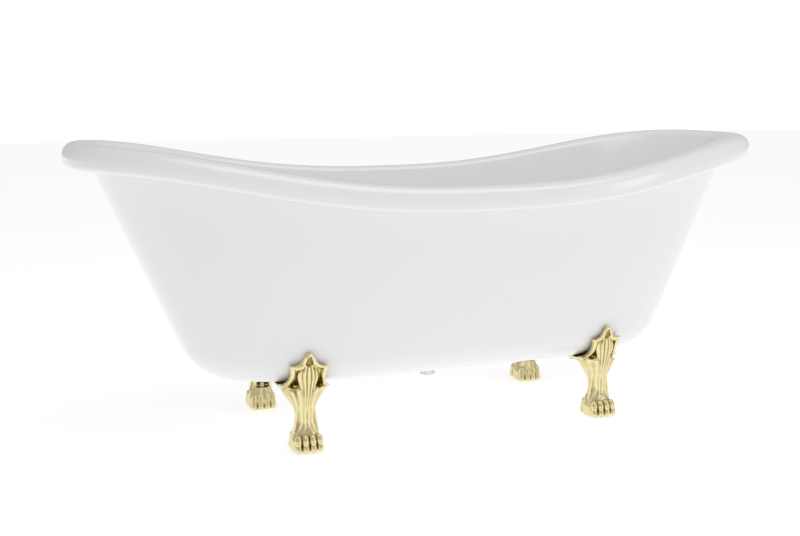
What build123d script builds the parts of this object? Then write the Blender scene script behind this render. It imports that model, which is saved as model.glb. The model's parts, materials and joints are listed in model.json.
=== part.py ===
from build123d import *
import os
from math import atan, copysign, cos, degrees, pi, sin

# Freestanding double-ended bathtub on four cast feet. Millimetres, +Z up, +X along the length.
# The origin is on the floor, below the middle of the tub.

# ---- driving dimensions: rim --------------------------------------------------------------
LENGTH = 1700.0          # over the rolled rim
WIDTH = 722.0
RIM_OVAL = 2.8           # power of the rim's plan oval: 2 is an ellipse, more is boxier
RIM_MID = 590.0          # height of the rim's crest at mid length
RIM_END = 683.0          # height of the rim's crest at both raised ends
RIM_SWEEP = 1.3          # power that holds the rim low along the middle
RIM_BAND = 54.0          # depth of the rolled rim
RIM_ROUND = 30.0         # outer crest radius
RIM_CURL = 12.0          # outer lower radius
RIM_CREST_IN = 12.0      # inner crest radius, where the rim turns down into the bath

# ---- walls: (height, half length, half width, oval power) at a low and a high section ------
SHELL_LOW = (145.0, 578.0, 217.0, 3.0)
SHELL_HIGH = (629.0, 791.0, 341.0, 2.4)
SHELL_CORNER = 67.0      # radius under the tub, between wall and bottom
BATH_LOW = (210.0, 490.0, 170.0, 3.0)
BATH_HIGH = (683.0, 788.0, 331.0, 2.4)
BATH_CORNER = 62.0       # radius inside the bath, between wall and floor
SKIN = 5.0               # thickness of both acrylic shells
BOND_GAP = 0.5           # play where the shells meet under the rim
FLANGE = 6.0             # thickness of the outer shell's top flange
BOND_DEPTH = 12.0
BOND_WIDTH = 22.0

SHELL_WALL = (SHELL_LOW, SHELL_HIGH)
BATH_WALL = (BATH_LOW, BATH_HIGH)
RING_POINTS = 48         # points on each closed ring of the shells

# ---- structure under the bath floor ---------------------------------------------------------
BOARD = 18.0
BOARD_HALF_X = 500.0
BOARD_HALF_Y = 146.0
BEARER_X = (-320.0, -110.0, 110.0, 320.0)
BEARER_WIDTH = 40.0
BEARER_HALF_Y = 104.0

# ---- cast feet --------------------------------------------------------------------------------
FOOT_X = 376.5           # centre of each foot from mid length
FOOT_CLEAR = 1.0         # play between a foot and the tub
LEAF_PROUD = 11.0        # how far the top leaf stands off the tub wall
LEG_FACETS = 16
BOLT_Y = 112.0
BOLT_HALF_PITCH = 28.0
BOLT_RADIUS = 4.0        # M8
BOLT_HOLE = 4.5
SHELF = 10.0
LEVELER_Y = 182.0
STUD_RADIUS = 5.0        # M10
STUD_PLAY = 0.05
PAD_RADIUS = 13.0
PAD_HEIGHT = 7.0
STUD_TOP = 74.0
BOSS_LOW, BOSS_TOP = 21.0, 60.0
NUT_HEIGHT = 6.0

# ---- waste and overflow ---------------------------------------------------------------------------
TAIL_RADIUS = 19.05      # 38.1 mm outlet tube
TAIL_LOW = 96.0
TAIL_LENGTH = 15.0       # full-diameter length that a slip joint grips
TAIL_NECK = 18.8         # drawn-in upper length, inside the shoe
WASTE_HOLE = 23.0
WASTE_CLEAR = 34.0       # hole in the shell's bottom around the outlet
HOSE_RADIUS = 12.0
HOSE_BORE = 10.0
HOSE_Z = 187.0
HOSE_BEND = 60.0
INLET_END = 62.0
OVERFLOW_Z = 505.0
OVERFLOW_HOLE = 25.0
SPOUT_BACK = 12.3        # hose centre behind the elbow's face


def oval_points(half_x, half_y, power, count=RING_POINTS):
    """Points on |x/a|^n + |y/b|^n = 1, as (x, y) pairs."""
    points = []
    for i in range(count):
        c, s = cos(2 * pi * i / count), sin(2 * pi * i / count)
        x = half_x * copysign(abs(c) ** (2 / power), c)
        y = half_y * copysign(abs(s) ** (2 / power), s)
        points.append((x, y))
    return points


def closed_curve(points):
    """Closed smooth wire through a ring of points."""
    return Wire([Edge.make_spline([Vector(*p) for p in points], periodic=True)])


def rim_top(x):
    """Height of the rim's crest at distance x from mid length."""
    s = min(abs(x) / (LENGTH / 2), 1.0)
    return RIM_MID + (RIM_END - RIM_MID) * (1 - cos(pi * s ** RIM_SWEEP)) / 2


def wall_size(wall, z):
    """Half length, half width and oval power of a straight-tapered wall at height z."""
    low, high = wall
    f = (z - low[0]) / (high[0] - low[0])
    return tuple(a + (b - a) * f for a, b in zip(low[1:], high[1:]))


def level_ring(wall, z, grow):
    """Level ring on a tapered wall moved out by grow."""
    half_x, half_y, power = wall_size(wall, z)
    return [(x, y, z) for x, y in oval_points(half_x + grow, half_y + grow, power)]


def crest_ring(wall, grow, drop):
    """Ring on a tapered wall that stays drop below the rim's crest line."""
    ring = []
    for i in range(RING_POINTS):
        z = RIM_MID
        for _ in range(8):
            x, y, _ = level_ring(wall, z, grow)[i]
            z = rim_top(x) - drop
        ring.append((x, y, z))
    return ring


def plan_ring(inset, drop):
    """Ring that follows the rim's plan oval and crest line, moved in and down."""
    oval = oval_points(LENGTH / 2 - inset, WIDTH / 2 - inset, RIM_OVAL)
    return [(x, y, rim_top(x) - drop) for x, y in oval]


def quarter(steps):
    """Angles of a quarter turn, both ends included."""
    return [pi / 2 * i / steps for i in range(steps + 1)]


def corner_rings(wall, bottom, grow, radius):
    """Rings up the rounded corner between a flat bottom and its wall."""
    rings = []
    for angle in quarter(5):
        z = bottom + radius * (1 - cos(angle))
        rings.append(level_ring(wall, z, grow - radius * (1 - sin(angle))))
    return rings


def skinned(rings):
    """Solid between two flat end rings, skinned over the rings in order."""
    return Solid.make_loft([closed_curve(r) for r in rings], ruled=True)


def cylinder(radius, low, high, x=0.0, y=0.0):
    """Upright cylinder between two heights."""
    return Pos(x, y, (low + high) / 2) * Cylinder(radius, high - low)


def turned(profile, x=0.0, y=0.0):
    """Solid of revolution about an upright axis, from (radius, height) points."""
    face = make_face(Polyline(*[(r, 0, z) for r, z in profile], close=True))
    return Pos(x, y, 0) * revolve(face, Axis.Z)


def foot_places():
    """Name, x side and y side of each foot: -Y is the front."""
    return [
        ("front_left", -1, -1), ("front_right", 1, -1),
        ("rear_left", -1, 1), ("rear_right", 1, 1),
    ]


def bolt_places():
    """Axis of each of the two bolts at every foot."""
    return [
        (sx * FOOT_X + dx, sy * BOLT_Y)
        for _, sx, sy in foot_places() for dx in (-BOLT_HALF_PITCH, BOLT_HALF_PITCH)
    ]


def placed(solid, sx, sy):
    """Copy of a piece made at +X, -Y, for the corner (sx, sy)."""
    if sx < 0:
        solid = solid.mirror(Plane.YZ)
    if sy > 0:
        solid = solid.mirror(Plane.XZ)
    return solid


# ---- bath ---------------------------------------------------------------------------------------
def wall_plane(z, depth=0.0):
    """Plane on the bath's -Y inside wall at x = 0: Y points up it, Z into the bath."""
    rise = (BATH_HIGH[2] - BATH_LOW[2]) / (BATH_HIGH[0] - BATH_LOW[0])
    half_y = BATH_LOW[2] + rise * (z - BATH_LOW[0])
    normal = Vector(0, 1, rise).normalized()
    return Plane(origin=Vector(0, -half_y, z) + normal * depth, x_dir=(-1, 0, 0), z_dir=normal)


def basin():
    """Inner acrylic bath with its rolled rim, hollow underneath, skinned as one closed surface."""
    rings = corner_rings(BATH_WALL, BATH_LOW[0], 0, BATH_CORNER)
    for angle in quarter(3):
        grow, drop = RIM_CREST_IN * (1 - cos(angle)), RIM_CREST_IN * (1 - sin(angle))
        rings.append(crest_ring(BATH_WALL, grow, drop))
    for angle in quarter(5):
        rings.append(plan_ring(RIM_ROUND * (1 - sin(angle)), RIM_ROUND * (1 - cos(angle))))
    for angle in quarter(2):
        inset, drop = RIM_CURL * (1 - cos(angle)), RIM_BAND - RIM_CURL * (1 - sin(angle))
        rings.append(plan_ring(inset, drop))
    rings.append(crest_ring(SHELL_WALL, BOND_GAP, RIM_BAND))
    rings.append(crest_ring(SHELL_WALL, BOND_GAP, RIM_BAND - SKIN))
    rings.append(plan_ring(SKIN, RIM_BAND - SKIN))
    inner_round = RIM_ROUND - SKIN
    for angle in reversed(quarter(3)):
        rings.append(plan_ring(SKIN + inner_round * (1 - sin(angle)), SKIN + inner_round * (1 - cos(angle))))
    inner_crest = RIM_CREST_IN - SKIN
    for angle in reversed(quarter(2)):
        grow, drop = RIM_CREST_IN - inner_crest * cos(angle), RIM_CREST_IN - inner_crest * sin(angle)
        rings.append(crest_ring(BATH_WALL, grow, drop))
    rings += reversed(corner_rings(BATH_WALL, BATH_LOW[0] - SKIN, SKIN, BATH_CORNER + SKIN))
    body = skinned(rings) - cylinder(WASTE_HOLE, 150, 250)
    return body - wall_plane(OVERFLOW_Z) * Cylinder(OVERFLOW_HOLE, 40)


FLANGE_DROP = RIM_BAND - SKIN - 0.2 - FLANGE


def outer_shell():
    """Outer acrylic shell with a flange that closes the rim from below."""
    rings = corner_rings(SHELL_WALL, SHELL_LOW[0] + SKIN, -SKIN, SHELL_CORNER - SKIN)
    rings.append(crest_ring(SHELL_WALL, -SKIN, FLANGE_DROP))
    rings.append(plan_ring(SKIN + BOND_GAP, FLANGE_DROP))
    rings.append(plan_ring(SKIN + BOND_GAP, FLANGE_DROP + FLANGE))
    rings.append(crest_ring(SHELL_WALL, 0, FLANGE_DROP + FLANGE))
    rings += reversed(corner_rings(SHELL_WALL, SHELL_LOW[0], 0, SHELL_CORNER))
    body = skinned(rings) - cylinder(WASTE_CLEAR, 120, 170)
    for x, y in bolt_places():
        body = body - cylinder(BOLT_HOLE, 120, 160, x, y)
    return body


def rim_bond():
    """Bead of adhesive on the flange, holding it in the rolled rim: two half rings."""
    bottom = FLANGE_DROP - BOND_GAP
    corners = [
        plan_ring(SKIN + BOND_GAP, bottom), plan_ring(SKIN + BOND_WIDTH, bottom),
        plan_ring(SKIN + BOND_WIDTH, FLANGE_DROP - BOND_DEPTH),
        plan_ring(SKIN + BOND_GAP, FLANGE_DROP - BOND_DEPTH),
    ]
    halves = []
    half = RING_POINTS // 2
    for start in (0, half):
        stations = []
        for i in range(start, start + half + 1):
            quad = [Vector(*ring[i % RING_POINTS]) for ring in corners]
            stations.append(Wire.make_polygon(quad, close=True))
        halves.append(Solid.make_loft(stations, ruled=True))
    return Compound(halves)


# ---- structure -----------------------------------------------------------------------------------
def board_outline():
    """Flat outline of the board."""
    oval = oval_points(BOARD_HALF_X, BOARD_HALF_Y, SHELL_LOW[3], 24)
    return make_face(closed_curve([(x, y, 0) for x, y in oval]))


def base_board():
    """Plywood board glued to the inside of the outer shell's bottom."""
    low = SHELL_LOW[0] + SKIN
    board = Pos(0, 0, low) * extrude(board_outline(), amount=BOARD)
    board = board - cylinder(WASTE_CLEAR + 4, low - 1, low + BOARD + 1)
    for x, y in bolt_places():
        board = board - cylinder(6.1, low - 1, low + BOARD + 1, x, y)
    return board


def bearer(x):
    """Timber bearer between the board and the bath's floor."""
    low = SHELL_LOW[0] + SKIN + BOARD
    high = BATH_LOW[0] - SKIN
    bar = Box(BEARER_WIDTH, 2 * BEARER_HALF_Y, high - low)
    bar = chamfer(bar.edges().filter_by(Axis.Y), 2.0)
    return Pos(x, 0, (low + high) / 2) * bar


# ---- cast foot, made at +X, -Y ------------------------------------------------------------------
def leg_section(z, back, front, half_x):
    """Level section of the leg, with back and front measured out from the tub's centre plane."""
    oval = oval_points(half_x, (front - back) / 2, 2.6, LEG_FACETS)
    middle = -(front + back) / 2
    return Wire.make_polygon([Vector(FOOT_X + x, middle + y, z) for x, y in oval], close=True)


def leg_outer():
    """Paw, ankle and knee of the cast leg."""
    sections = [
        (1.5, 159, 217, 30), (12, 157, 222, 33), (27, 158, 219, 33), (42, 161, 211, 28),
        (60, 164, 204, 22), (80, 165, 202, 21), (105, 160, 203, 25), (132, 148, 208, 36),
        (158, 138, 213, 42), (190, 140, 214, 30),
    ]
    return Solid.make_loft([leg_section(*s) for s in sections], ruled=True)


def leg_hollow():
    """The casting's hollow: open below, and open at the back above the heel for a spanner."""
    sections = [
        (-1, 165, 207, 23), (20, 164, 210, 25), (42, 167, 203, 21), (56, 168, 198, 16.5),
        (58, 140, 197, 16), (60, 140, 196, 15), (80, 140, 194, 14), (105, 135, 195, 17),
        (128, 130, 196, 24),
    ]
    return Solid.make_loft([leg_section(*s) for s in sections], ruled=True)


def tub_corner(grow):
    """The tub's rounded lower corner beside a foot, as one straight length."""
    low_y = wall_y(FOOT_X, SHELL_LOW[0] + SHELL_CORNER)
    high_z = 320.0
    high_y = wall_y(FOOT_X, high_z)
    bottom, radius = SHELL_LOW[0] - grow, SHELL_CORNER + grow
    arc = [
        (low_y + grow - radius * (1 - sin(a)), bottom + radius * (1 - cos(a))) for a in quarter(6)
    ]
    profile = [(0, bottom)] + arc + [(high_y + grow, high_z), (0, high_z)]
    face = make_face(Polyline(*[(0, -y, z) for y, z in profile], close=True))
    block = Pos(-90, 0, 0) * extrude(face, amount=180, dir=(1, 0, 0))
    turn = Pos(FOOT_X, -low_y, 0) * Rot(0, 0, wall_turn()) * Pos(0, low_y, 0)
    return turn * block


def wall_y(x, z):
    """Half width of the outer shell at a place along its length."""
    half_x, half_y, power = wall_size(SHELL_WALL, z)
    return half_y * (1 - (x / half_x) ** power) ** (1 / power)


def wall_turn():
    """Angle in degrees by which the wall beside a foot turns towards the tub's end."""
    z, step = SHELL_LOW[0] + SHELL_CORNER, 20.0
    fall = wall_y(FOOT_X - step, z) - wall_y(FOOT_X + step, z)
    return degrees(atan(fall / (2 * step)))


def leaf_plate():
    """Pointed leaf that lies against the tub wall above the knee."""
    side = [(30, 118), (44, 150), (55, 153), (36, 170), (31, 182), (40, 199), (20, 205), (11, 216)]
    points = side + [(0, 230.5)] + [(-x, z) for x, z in reversed(side)]
    outline = make_face(Polyline(*[(FOOT_X + x, -120, z) for x, z in points], close=True))
    prism = extrude(outline, amount=160, dir=(0, -1, 0))
    return prism & tub_corner(LEAF_PROUD)


def toe(offset):
    """One toe of the paw: a bar with a knuckle and a ball end."""
    x = FOOT_X + offset
    reach = 214.0 - abs(offset) * 0.12
    bar = Pos(x, -(reach - 20), 13.5) * Rot(90, 0, 0) * Cylinder(8.2, 40)
    knuckle = Pos(x, -(reach - 16), 22.0) * Sphere(9.5)
    tip = Pos(x, -reach, 13.5) * Sphere(8.2)
    return bar + knuckle + tip


def foot():
    """Cast foot: hollow leg, leaf, four toes, bolting shelf and leveller boss."""
    body = leg_outer()
    for offset in (-24.5, -8.2, 8.2, 24.5):
        body = body + toe(offset)
    body = body + leaf_plate()
    body = body - leg_hollow()
    width = 2 * (BOLT_HALF_PITCH + 14)
    shelf_z = SHELL_LOW[0] - FOOT_CLEAR - SHELF / 2
    shelf = Pos(FOOT_X, -(98 + 168) / 2, shelf_z) * Box(width, 70, SHELF)
    body = body + fillet(shelf.edges().filter_by(Axis.Z), 9.0)
    boss = cylinder(10.5, BOSS_LOW, BOSS_TOP, FOOT_X, -LEVELER_Y)
    web = Pos(FOOT_X, -LEVELER_Y, 50) * Box(34, 8, 20)
    rib = Pos(FOOT_X, -LEVELER_Y - 12, 50) * Box(8, 16, 20)
    body = body + boss + web + rib
    body = body - tub_corner(FOOT_CLEAR)
    body = body - cylinder(STUD_RADIUS + STUD_PLAY, 0, 100, FOOT_X, -LEVELER_Y)
    for dx in (-BOLT_HALF_PITCH, BOLT_HALF_PITCH):
        body = body - cylinder(BOLT_HOLE, 120, 160, FOOT_X + dx, -BOLT_Y)
    return body


def foot_bolts():
    """Hex bolts, up through each shelf into the board."""
    head_top = SHELL_LOW[0] - FOOT_CLEAR - SHELF - 1.6
    bolts = []
    for x, y in bolt_places():
        head = Pos(x, y, head_top - 5.3) * extrude(RegularPolygon(7.5, 6), amount=5.3)
        bolts.append(head + cylinder(BOLT_RADIUS, head_top, head_top + 32, x, y))
    return Compound(bolts)


def foot_washers():
    """Flat washers under the bolt heads."""
    top = SHELL_LOW[0] - FOOT_CLEAR - SHELF
    return Compound([
        cylinder(8.0, top - 1.6, top, x, y) - cylinder(4.2, top - 2, top + 1, x, y)
        for x, y in bolt_places()
    ])


def board_inserts():
    """Flanged threaded inserts pressed into the board from above."""
    low, top = SHELL_LOW[0] + SKIN + 3, SHELL_LOW[0] + SKIN + BOARD
    return Compound([
        cylinder(6.0, low, top, x, y) + cylinder(10.0, top, top + 1.5, x, y)
        - cylinder(BOLT_RADIUS, low - 1, top + 3, x, y)
        for x, y in bolt_places()
    ])


def leveling_pad():
    """Round pad that stands on the floor inside the paw."""
    pad = turned([
        (0, 0), (PAD_RADIUS - 1.5, 0), (PAD_RADIUS, 1.5), (PAD_RADIUS, 3.5),
        (STUD_RADIUS + 2, PAD_HEIGHT), (0, PAD_HEIGHT),
    ], FOOT_X, -LEVELER_Y)
    return pad - cylinder(3.05, 2.0, PAD_HEIGHT + 1, FOOT_X, -LEVELER_Y)


def leveling_stud():
    """Threaded stud: a spigot turns in the pad, and a key slot is in its top."""
    stud = turned([
        (0, 2.1), (3.0, 2.1), (3.0, PAD_HEIGHT + 0.1), (STUD_RADIUS, PAD_HEIGHT + 0.1),
        (STUD_RADIUS, STUD_TOP - 1), (STUD_RADIUS - 1, STUD_TOP), (0, STUD_TOP),
    ], FOOT_X, -LEVELER_Y)
    return stud - Pos(FOOT_X, -LEVELER_Y, STUD_TOP - 1) * Box(1.6, 12, 3)


def leveling_lock_nuts():
    """Hex nuts that lock the studs against the bosses."""
    nut = Pos(FOOT_X, -LEVELER_Y, BOSS_TOP) * extrude(RegularPolygon(9.5, 6), amount=NUT_HEIGHT)
    nut = nut - cylinder(STUD_RADIUS + STUD_PLAY, 50, 80, FOOT_X, -LEVELER_Y)
    return Compound([placed(nut, sx, sy) for _, sx, sy in foot_places()])


# ---- waste -------------------------------------------------------------------------------------------
FLOOR_Z = BATH_LOW[0]


def drain_flange():
    """Waste flange in the bath floor, with a crossbar that guides the plug."""
    ring = turned([
        (19.0, FLOOR_Z - 18), (22.0, FLOOR_Z - 18), (22.0, FLOOR_Z + 1), (35.0, FLOOR_Z + 1),
        (35.0, FLOOR_Z + 2.2), (32.0, FLOOR_Z + 3.5), (24.0, FLOOR_Z + 3.5), (19.0, FLOOR_Z),
    ])
    bars = Pos(0, 0, FLOOR_Z - 15) * (Box(39, 5, 5) + Box(5, 39, 5) + Cylinder(7, 5))
    return ring + bars - cylinder(4.05, FLOOR_Z - 20, FLOOR_Z - 10)


def drain_gasket(low, high):
    """Flat rubber ring around the waste hole."""
    return turned([(22.3, low), (33.0, low), (33.0, high), (22.3, high)])


def drain_shoe():
    """Waste body under the bath floor, with a side inlet for the overflow."""
    top = FLOOR_Z - SKIN - 2
    body = turned([
        (22.05, top), (30.0, top), (30.0, top - 5), (27.0, top - 7), (27.0, 170), (24.5, 166),
        (24.5, 128), (19.35, 128), (19.35, 168), (22.05, 171),
    ])
    stub = Pos(0, -(INLET_END + 22) / 2, HOSE_Z) * Rot(90, 0, 0) * Cylinder(HOSE_RADIUS, INLET_END - 22)
    bore = Pos(0, -(INLET_END + 18) / 2, HOSE_Z) * Rot(90, 0, 0) * Cylinder(HOSE_BORE, INLET_END - 18)
    core = cylinder(22.05, 171, top + 1)
    return (body + (stub - core)) - bore


def tailpiece():
    """Outlet tube, held in the shoe by its slip nut."""
    tube = cylinder(TAIL_RADIUS, TAIL_LOW, TAIL_LOW + TAIL_LENGTH)
    neck = cylinder(TAIL_NECK, TAIL_LOW + TAIL_LENGTH, 160)
    return tube + neck - cylinder(TAIL_NECK - 1.4, TAIL_LOW - 1, 161)


def tailpiece_washer():
    """Tapered sealing ring under the shoe."""
    bore = TAIL_NECK + 0.1
    return turned([(bore, 119), (21.5, 119), (24.2, 124), (24.2, 127.9), (bore, 127.9)])


def tailpiece_nut():
    """Slip nut over the tapered ring."""
    nut = Pos(0, 0, 112) * extrude(RegularPolygon(33, 8), amount=28)
    nut = nut - cylinder(24.6, 118.9, 141) - cylinder(19.3, 111, 119)
    return nut


def drain_plug_cap():
    """Domed metal cap of the pop-up plug."""
    return turned([
        (0, FLOOR_Z + 5.6), (24, FLOOR_Z + 5.6), (27, FLOOR_Z + 6.2), (27.5, FLOOR_Z + 7.2),
        (24, FLOOR_Z + 8.6), (12, FLOOR_Z + 10.2), (0, FLOOR_Z + 10.6),
    ])


def drain_plug_seal():
    """Rubber ring under the cap, which closes on the flange."""
    z = FLOOR_Z + 3.6
    return turned([(19.5, z + 1), (23.5, z), (25.5, z), (25.5, z + 2), (19.5, z + 2)])


def drain_plug_stem():
    """Stem that slides in the crossbar, with a collar that stops it rising out."""
    low = FLOOR_Z - 30
    stem = cylinder(4.0, low, FLOOR_Z + 5.6) + cylinder(15.0, FLOOR_Z + 3.0, FLOOR_Z + 5.6)
    return stem + cylinder(6.5, low, FLOOR_Z - 17.5 - 8.2)


# ---- overflow -------------------------------------------------------------------------------------------
def overflow_cover():
    """Round cover plate inside the bath, open at its lower edge."""
    plane = wall_plane(OVERFLOW_Z)
    plate = Pos(0, 0, 5.5) * Cylinder(34, 9) - Pos(0, 0, 3.2) * Cylinder(31.5, 5)
    plate = plate - Pos(0, -30, 3.0) * Box(30, 20, 4.2) - Pos(0, 0, 3) * Cylinder(4, 20)
    posts = Pos(0, 0, 3.6) * (Cylinder(6.5, 6) - Cylinder(3.1, 8))
    spider = Pos(0, 0, 2.0) * (Box(62, 6, 2.4) - Cylinder(3.1, 8))
    return plane * (plate + posts + spider)


def overflow_screw():
    """Centre screw that draws the cover and elbow together through the wall."""
    plane = wall_plane(OVERFLOW_Z)
    head = Pos(0, 0, 11.0) * Cylinder(5.5, 2.0) - Pos(0, 0, 12) * Box(1.4, 12, 1.6)
    shank = Pos(0, 0, -2.5) * Cylinder(3.0, 25)
    return plane * (head + shank)


def overflow_gasket():
    """Rubber ring between the back of the wall and the elbow."""
    plane = wall_plane(OVERFLOW_Z, -SKIN - 1.6)
    return plane * (Cylinder(31, 3.0) - Cylinder(25, 4.0))


def overflow_elbow():
    """Slim elbow behind the wall, turning down to the hose."""
    plane = wall_plane(OVERFLOW_Z, -SKIN - 3.2)
    depth, wall = 18.0, 2.5
    outer = Pos(0, 0, -depth / 2) * Cylinder(31, depth)
    spout = Pos(0, -41, -SPOUT_BACK) * Rot(90, 0, 0) * Cylinder(HOSE_BORE - 0.5, 40)
    body = outer + spout
    body = body - Pos(0, 0, -(depth - wall) / 2 + 1) * Cylinder(25, depth - wall + 2)
    body = body - Pos(0, -32, -SPOUT_BACK) * Rot(90, 0, 0) * Cylinder(7.4, 60)
    nut = Pos(0, 0, -12.0) * Cylinder(6.0, 9.0) - Pos(0, 0, -12.0) * Cylinder(3.1, 12)
    bridge = Pos(0, 0, -14.5) * Box(54, 6, 3) - Pos(0, 0, -12.0) * Cylinder(3.1, 12)
    return plane * (body + nut + bridge)


def hose_path():
    """Centre line of the overflow hose: down between the shells, then in to the shoe."""
    plane = wall_plane(OVERFLOW_Z, -SKIN - 3.2)
    top = plane.from_local_coords(Vector(0, -52, -SPOUT_BACK))
    down = -plane.y_dir
    corner = top + down * ((top.Z - HOSE_Z) / -down.Z)
    end = Vector(0, -INLET_END - 0.2, HOSE_Z)
    return [top, corner, end]


def overflow_hose():
    """Smooth hose, one bend between two straight runs."""
    top, corner, end = hose_path()
    line = FilletPolyline(top, corner, end, radius=HOSE_BEND)
    start = Plane(origin=top, z_dir=(corner - top))
    rings = [sweep(start * Circle(r), path=line) for r in (HOSE_RADIUS, HOSE_BORE)]
    return rings[0] - rings[1]


def hose_nuts():
    """Coupling sleeves at both ends of the hose."""
    top, corner, end = hose_path()
    nuts = []
    low_plane = Plane(origin=end, z_dir=(0, -1, 0))
    top_plane = Plane(origin=top, z_dir=(corner - top))
    nuts.append(low_plane * (Pos(0, 0, 2) * (Cylinder(16.0, 22) - Cylinder(HOSE_RADIUS + 0.1, 30))))
    nuts.append(top_plane * (Pos(0, 0, 9) * (Cylinder(13.6, 16) - Cylinder(HOSE_RADIUS + 0.1, 30))))
    return Compound(nuts)


def all_pieces():
    """Node name and solid of every piece."""
    pieces = {
        "basin": basin(), "outer_shell": outer_shell(), "rim_bond": rim_bond(),
        "base_board": base_board(),
    }
    bearer_names = ("bearer_left", "bearer_mid_left", "bearer_mid_right", "bearer_right")
    for name, x in zip(bearer_names, BEARER_X):
        pieces[name] = bearer(x)
    cast_foot, pad, stud = foot(), leveling_pad(), leveling_stud()
    for name, sx, sy in foot_places():
        pieces["foot_" + name] = placed(cast_foot, sx, sy)
        pieces["leveling_pad_" + name] = placed(pad, sx, sy)
        pieces["leveling_stud_" + name] = placed(stud, sx, sy)
    pieces["leveling_lock_nuts"] = leveling_lock_nuts()
    pieces["foot_bolts"] = foot_bolts()
    pieces["foot_washers"] = foot_washers()
    pieces["board_inserts"] = board_inserts()
    pieces["drain_flange"] = drain_flange()
    pieces["drain_gasket_upper"] = drain_gasket(FLOOR_Z, FLOOR_Z + 1)
    pieces["drain_gasket_lower"] = drain_gasket(FLOOR_Z - SKIN - 2, FLOOR_Z - SKIN)
    pieces["drain_shoe"] = drain_shoe()
    pieces["tailpiece"] = tailpiece()
    pieces["tailpiece_washer"] = tailpiece_washer()
    pieces["tailpiece_nut"] = tailpiece_nut()
    pieces["drain_plug_cap"] = drain_plug_cap()
    pieces["drain_plug_seal"] = drain_plug_seal()
    pieces["drain_plug_stem"] = drain_plug_stem()
    pieces["overflow_cover"] = overflow_cover()
    pieces["overflow_screw"] = overflow_screw()
    pieces["overflow_gasket"] = overflow_gasket()
    pieces["overflow_elbow"] = overflow_elbow()
    pieces["overflow_hose"] = overflow_hose()
    pieces["hose_nuts"] = hose_nuts()
    return pieces


os.makedirs("parts", exist_ok=True)
for node, solid in all_pieces().items():
    export_step(solid, "parts/" + node + ".step")
    print(node, len(solid.solids()), round(solid.volume / 1000, 1), "cm3")
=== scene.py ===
# %% [markdown]
# A freestanding double-ended bathtub on four cast lion-paw feet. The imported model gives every
# place and every moving body. This file gives the tub its smooth skins, its sculpted feet, its
# screw threads and its finishes. Everything is in metres, standing on the floor at z = 0.

# %% Load the frame
import json
from math import cos, pi, radians, sin

import bmesh
import bpy
import numpy as np
import openvdb
from mathutils import Matrix, Vector


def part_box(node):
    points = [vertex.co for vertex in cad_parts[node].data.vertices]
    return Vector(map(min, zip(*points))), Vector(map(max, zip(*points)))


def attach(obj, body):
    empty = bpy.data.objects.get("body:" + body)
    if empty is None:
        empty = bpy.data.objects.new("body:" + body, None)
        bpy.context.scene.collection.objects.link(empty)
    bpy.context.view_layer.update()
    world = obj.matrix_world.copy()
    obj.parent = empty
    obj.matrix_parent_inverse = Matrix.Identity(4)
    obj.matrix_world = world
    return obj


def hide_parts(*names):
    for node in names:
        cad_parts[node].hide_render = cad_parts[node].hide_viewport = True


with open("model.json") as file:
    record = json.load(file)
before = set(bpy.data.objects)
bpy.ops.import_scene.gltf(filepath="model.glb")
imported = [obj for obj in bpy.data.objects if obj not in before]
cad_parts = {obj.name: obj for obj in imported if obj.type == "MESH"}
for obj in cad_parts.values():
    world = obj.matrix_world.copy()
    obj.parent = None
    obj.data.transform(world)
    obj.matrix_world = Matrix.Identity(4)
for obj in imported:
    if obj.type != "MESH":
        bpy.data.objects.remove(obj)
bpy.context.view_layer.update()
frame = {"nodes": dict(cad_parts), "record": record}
NODES = frame["nodes"]
MM = 0.001

# %% [markdown]
# The driving sizes of the two acrylic shells. Both walls are straight tapers between a low and
# a high oval. An oval here is |x/a|^n + |y/b|^n = 1: with n = 2 it is an ellipse, and a larger n
# gives the boxier plan that a moulded tub has. Each wall is (height, half length, half width, n)
# at its low and at its high section. Length and width come from the frame.

# %% Driving sizes
basin_low, basin_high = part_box("basin")
LENGTH = basin_high.x - basin_low.x
WIDTH = basin_high.y - basin_low.y
RIM_END = basin_high.z
RIM_MID = 0.590
RIM_SWEEP = 1.3
RIM_OVAL = 2.8
RIM_BAND = 0.054
RIM_ROUND = 0.030
RIM_CURL = 0.012
RIM_CREST_IN = 0.012
SKIN = 0.005
BOND_GAP = 0.0005
FLANGE = 0.006
SHELL_WALL = ((0.145, 0.578, 0.217, 3.0), (0.629, 0.791, 0.341, 2.4))
BATH_WALL = ((0.210, 0.490, 0.170, 3.0), (0.683, 0.788, 0.331, 2.4))
SHELL_CORNER = 0.067
BATH_CORNER = 0.062
WASTE_HOLE = 0.023
WASTE_CLEAR = 0.034
print("length", round(LENGTH, 4), "width", round(WIDTH, 4), "ends at", round(RIM_END, 4))

# %% [markdown]
# Node trees are easier to read when they are written as ordinary arithmetic. This small class
# wraps one socket of a tree, and each +, -, * or call adds the Math node that does it.


# %% Arithmetic that writes nodes
class Rule:
    """One number inside a node tree, written with ordinary arithmetic."""

    def __init__(self, tree, socket):
        self.tree, self.socket = tree, socket

    def math(self, operation, other=None, third=None):
        node = self.tree.nodes.new("ShaderNodeMath")
        node.operation = operation
        for socket, value in zip(node.inputs, (self, other, third)):
            if isinstance(value, Rule):
                self.tree.links.new(value.socket, socket)
            elif value is not None:
                socket.default_value = value
        return Rule(self.tree, node.outputs[0])

    def __add__(self, other):
        return self.math("ADD", other)

    def __sub__(self, other):
        return self.math("SUBTRACT", other)

    def __mul__(self, other):
        return self.math("MULTIPLY", other)

    def __truediv__(self, other):
        return self.math("DIVIDE", other)

    def __pow__(self, other):
        return self.math("POWER", other)

    def size(self):
        return self.math("ABSOLUTE")

    def sign(self):
        return self.math("SIGN")

    def equals(self, value):
        return self.math("COMPARE", value, 0.1)


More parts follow.
